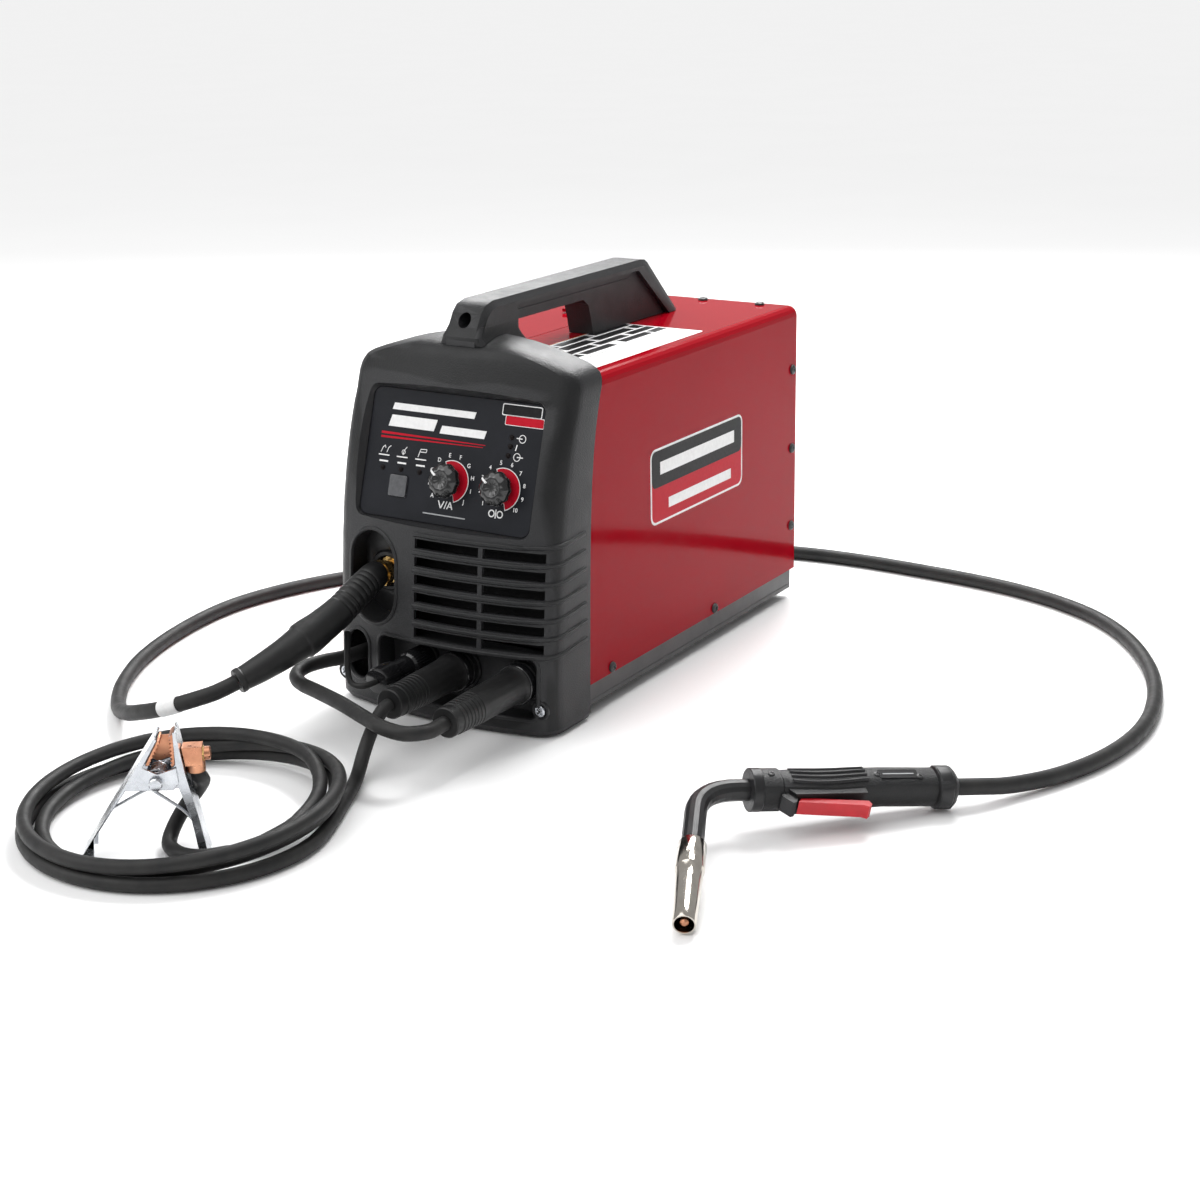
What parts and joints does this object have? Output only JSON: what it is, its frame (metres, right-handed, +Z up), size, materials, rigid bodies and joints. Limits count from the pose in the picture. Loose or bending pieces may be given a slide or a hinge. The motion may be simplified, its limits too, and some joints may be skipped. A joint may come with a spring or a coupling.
{
  "type": "wire feeder",
  "caption": "Portable wire-feed welder with a side door over the wire drive, a slanted control panel, carry handle, welding gun on a cable, polarity lead and work lead with clamp.",
  "frame": {"origin": "floor level, under the centre of the machine's own box without its cords, gun and clamp", "axes": "+Z up, -Y towards the front panel, +X towards the machine's right when facing its front"},
  "size_m": [0.8726, 0.9423, 0.3395],
  "materials": {
    "black_plastic": "fine-textured moulded charcoal",
    "black_paint": "satin black powder coat",
    "red_paint": "glossy deep red",
    "panel_film": "satin printed film",
    "grey_button": "satin grey",
    "rubber": "matte black",
    "brass": "machined",
    "copper": "bright copper",
    "zinc": "bright zinc plate",
    "nickel": "bright nickel plate",
    "steel": "machined",
    "aluminium": "cast and extruded",
    "board": "solder-mask green",
    "winding": "varnished winding",
    "trigger_red": "satin red"
  },
  "bodies": {
    "machine": {"front_bezel": "black_plastic", "control_plate": "panel_film", "control_board": "board", "case_cover": "red_paint", "base_pan": "black_paint", "rear_panel": "black_paint", "centre_divider": "steel", "carry_handle": "black_plastic", "foot_front_left": "rubber", "foot_front_right": "rubber", "foot_rear_left": "rubber", "foot_rear_right": "rubber", "power_switch_frame": "black_plastic", "cord_inlet_gland": "rubber", "gas_inlet_valve": "brass", "transformer": "winding", "inverter_module": "aluminium", "fan_frame": "black_plastic", "drive_body": "aluminium", "drive_motor": "steel", "gun_socket": "brass", "spool_axle": "steel", "positive_socket": "black_plastic", "negative_socket": "black_plastic", "trigger_socket": "black_plastic", "trigger_lead": "rubber", "polarity_lead": "rubber", "work_lead": "rubber", "work_lead_coil": "rubber", "work_lead_tail": "rubber", "clamp_arm_right": "zinc", "clamp_lug": "copper", "clamp_pin": "steel", "clamp_spring": "steel", "gun_brass_end": "brass", "gun_boot": "rubber", "gun_cable": "rubber", "gun_handle": "black_plastic", "gun_neck": "black_plastic", "gun_nozzle": "nickel", "contact_tip": "copper"},
    "output_knob": {"output_knob": "black_plastic"},
    "wire_speed_knob": {"wire_speed_knob": "black_plastic"},
    "process_button": {"process_button": "grey_button"},
    "power_switch": {"power_switch": "black_plastic"},
    "side_door": {"side_door": "red_paint"},
    "door_latch": {"door_latch": "red_paint"},
    "drive_roll": {"drive_roll": "steel"},
    "idler_roll": {"idler_roll": "steel"},
    "pressure_arm": {"pressure_arm": "aluminium"},
    "tension_knob": {"tension_knob": "black_plastic"},
    "gun_thumbscrew": {"gun_thumbscrew": "black_plastic"},
    "spool_hub": {"spool_hub": "black_plastic"},
    "spool_brake_nut": {"spool_brake_nut": "black_plastic"},
    "fan_rotor": {"fan_rotor": "black_plastic"},
    "polarity_plug": {"polarity_plug": "rubber"},
    "work_plug": {"work_plug": "rubber"},
    "trigger_plug": {"trigger_plug": "black_plastic"},
    "gun_trigger": {"gun_trigger": "trigger_red"},
    "clamp_arm_left": {"clamp_arm_left": "zinc"}
  },
  "joints": [
    {"name": "output_turn", "type": "hinge", "parent": "machine", "child": "output_knob", "pos_m": [0.0035, -0.19803, 0.19886], "axis": [0, 0.9548, -0.2974], "range_deg": [-150, 150]},
    {"name": "wire_speed_turn", "type": "hinge", "parent": "machine", "child": "wire_speed_knob", "pos_m": [0.0537, -0.19812, 0.19858], "axis": [0, 0.9548, -0.2974], "range_deg": [-150, 150]},
    {"name": "process_press", "type": "slide", "parent": "machine", "child": "process_button", "axis": [0, 0.9548, -0.2974], "range_m": [0, 0.0012], "stiffness_N_per_m": 600, "springref_m": -0.001},
    {"name": "power_rock", "type": "hinge", "parent": "machine", "child": "power_switch", "pos_m": [-0.062, 0.2116, 0.234], "axis": [-1, 0, 0], "range_deg": [0, 8]},
    {"name": "door_swing", "type": "hinge", "parent": "machine", "child": "side_door", "pos_m": [-0.1052, -0.157, 0.037], "axis": [0, -1, 0], "range_deg": [0, 90]},
    {"name": "latch_turn", "type": "hinge", "parent": "side_door", "child": "door_latch", "pos_m": [-0.052, 0.093, 0.2844], "axis": [0, 0, 1], "range_deg": [0, 90]},
    {"name": "drive_roll_spin", "type": "hinge", "parent": "machine", "child": "drive_roll", "pos_m": [-0.058, -0.097, 0.098], "axis": [1, 0, 0], "continuous": true},
    {"name": "idler_roll_spin", "type": "hinge", "parent": "pressure_arm", "child": "idler_roll", "pos_m": [-0.058, -0.097, 0.124], "axis": [1, 0, 0], "continuous": true},
    {"name": "pressure_arm_lift", "type": "hinge", "parent": "machine", "child": "pressure_arm", "pos_m": [-0.05, -0.123, 0.14], "axis": [1, 0, 0], "range_deg": [0, 3]},
    {"name": "tension_knob_swing", "type": "hinge", "parent": "machine", "child": "tension_knob", "pos_m": [-0.051, -0.069, 0.091], "axis": [-1, 0, 0], "range_deg": [0, 50]},
    {"name": "thumbscrew_turn", "type": "hinge", "parent": "machine", "child": "gun_thumbscrew", "pos_m": [-0.078, -0.146, 0.113], "axis": [-1, 0, 0], "range_deg": [-180, 180]},
    {"name": "spool_hub_spin", "type": "hinge", "parent": "machine", "child": "spool_hub", "pos_m": [-0.023, 0.073, 0.15], "axis": [1, 0, 0], "continuous": true},
    {"name": "brake_nut_turn", "type": "hinge", "parent": "machine", "child": "spool_brake_nut", "pos_m": [-0.023, 0.073, 0.15], "axis": [-1, 0, 0], "range_deg": [-180, 180]},
    {"name": "fan_spin", "type": "hinge", "parent": "machine", "child": "fan_rotor", "pos_m": [0.045, 0.1976, 0.14], "axis": [0, 1, 0], "continuous": true},
    {"name": "polarity_plug_twist", "type": "hinge", "parent": "machine", "child": "polarity_plug", "pos_m": [0.077, -0.2153, 0.045], "axis": [0, -1, 0], "range_deg": [0, 60]},
    {"name": "work_plug_twist", "type": "hinge", "parent": "machine", "child": "work_plug", "pos_m": [0.015, -0.2153, 0.045], "axis": [0, -1, 0], "range_deg": [0, 60]},
    {"name": "trigger_plug_twist", "type": "hinge", "parent": "machine", "child": "trigger_plug", "pos_m": [-0.021, -0.2113, 0.048], "axis": [0, -1, 0], "range_deg": [0, 90]},
    {"name": "trigger_press", "type": "hinge", "parent": "machine", "child": "gun_trigger", "pos_m": [0.362, -0.28296, 0.02486], "axis": [0.2448, -0.1056, 0.9638], "range_deg": [0, 3.5], "stiffness_Nm_per_rad": 0.4, "springref_deg": -8.59},
    {"name": "clamp_open", "type": "hinge", "parent": "machine", "child": "clamp_arm_left", "pos_m": [-0.01843, -0.52899, 0.0595], "axis": [0.613, -0.7901, 0], "range_deg": [0, 5], "stiffness_Nm_per_rad": 3, "springref_deg": -17.19}
  ]
}
